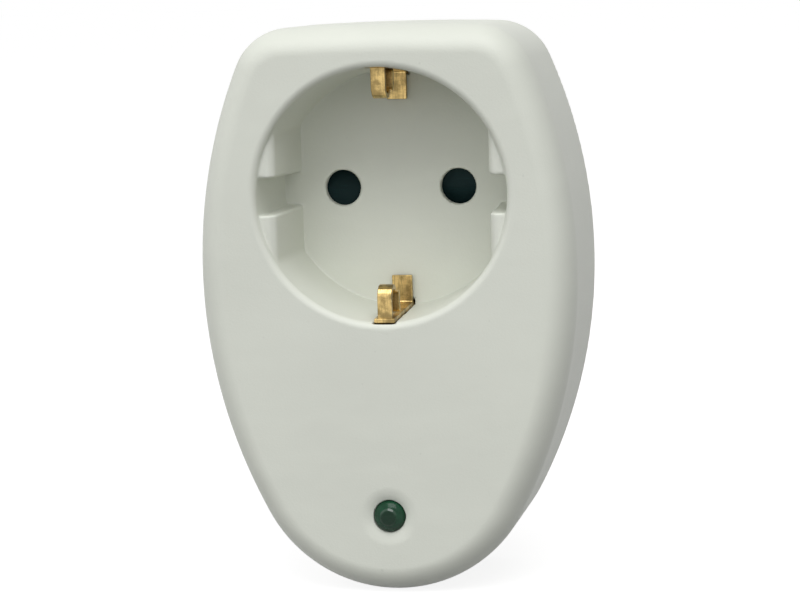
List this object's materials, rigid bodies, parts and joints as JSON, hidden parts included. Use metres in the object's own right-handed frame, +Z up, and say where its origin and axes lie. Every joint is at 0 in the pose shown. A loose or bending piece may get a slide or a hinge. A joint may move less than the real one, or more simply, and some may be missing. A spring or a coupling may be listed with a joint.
{
  "type": "powerline adapter",
  "caption": "Plug-through mains adapter: earthed socket with a pin shutter and a green lamp in front, earthed plug behind, in an egg-shaped white case.",
  "frame": {"origin": "centre of the plug's end face, on the shared axis of the plug and the socket", "axes": "seen from the front, +X to the right and +Z up; +Y from the socket in front to the plug behind"},
  "size_m": [0.0602, 0.0652, 0.0899],
  "materials": {
    "white_plastic": "satin off-white moulded plastic",
    "teal_plastic": "dark teal moulded plastic",
    "green_lens": "dark green clear lens",
    "carrier_plastic": "cream moulded plastic",
    "black_plastic": "black moulded plastic",
    "board_laminate": "tan paper laminate",
    "varistor_coat": "blue dipped coating",
    "ceramic": "glazed pale ceramic",
    "capacitor_plastic": "yellow box",
    "resistor_coat": "tan lacquer with colour bands",
    "brass": "bright stamped brass",
    "nickel": "nickel plate",
    "spring_steel": "drawn spring wire",
    "zinc_steel": "zinc or tin plate",
    "brown_insulation": "brown wire insulation",
    "blue_insulation": "blue wire insulation",
    "green_yellow_insulation": "green and yellow wire insulation"
  },
  "bodies": {
    "housing": {"front_cover": "white_plastic", "rear_cover": "white_plastic", "shutter_spring": "spring_steel", "contact_carrier": "carrier_plastic", "earth_bar": "brass", "plug_pin_left": "nickel", "plug_pin_right": "nickel", "contact_left": "brass", "contact_right": "brass", "plug_earth_strip_upper": "nickel", "plug_earth_strip_lower": "nickel", "indicator_lamp": "green_lens", "lamp_spacer": "black_plastic", "lamp_lead_left": "zinc_steel", "lamp_lead_right": "zinc_steel", "circuit_board": "board_laminate", "varistor_1": "varistor_coat", "varistor_2": "varistor_coat", "varistor_3": "varistor_coat", "gas_tube": "ceramic", "resistor": "resistor_coat", "diode": "black_plastic", "thermal_fuse": "zinc_steel", "capacitor": "capacitor_plastic", "housing_screw_1": "zinc_steel", "housing_screw_2": "zinc_steel", "housing_screw_3": "zinc_steel", "board_screw_1": "zinc_steel", "board_screw_2": "zinc_steel", "wire_line": "brown_insulation", "wire_neutral": "blue_insulation", "wire_earth": "green_yellow_insulation"},
    "shutter": {"shutter": "teal_plastic"},
    "upper_clip": {"earth_clip_upper": "brass"},
    "lower_clip": {"earth_clip_lower": "brass"}
  },
  "joints": [
    {"name": "shutter_turn", "type": "hinge", "parent": "housing", "child": "shutter", "pos_m": [0, -0.0251, 0], "axis": [0, -1, 0], "range_deg": [0, 44], "stiffness_Nm_per_rad": 0.004, "springref_deg": -22.92, "deforming": ["shutter_spring"]},
    {"name": "upper_clip_bend", "type": "hinge", "parent": "housing", "child": "upper_clip", "pos_m": [0, -0.0286, 0.01905], "axis": [-1, 0, 0], "range_deg": [0, 6], "stiffness_Nm_per_rad": 0.7, "springref_deg": -1.72},
    {"name": "lower_clip_bend", "type": "hinge", "parent": "housing", "child": "lower_clip", "pos_m": [0, -0.0286, -0.01905], "axis": [1, 0, 0], "range_deg": [0, 6], "stiffness_Nm_per_rad": 0.7, "springref_deg": -1.72}
  ]
}
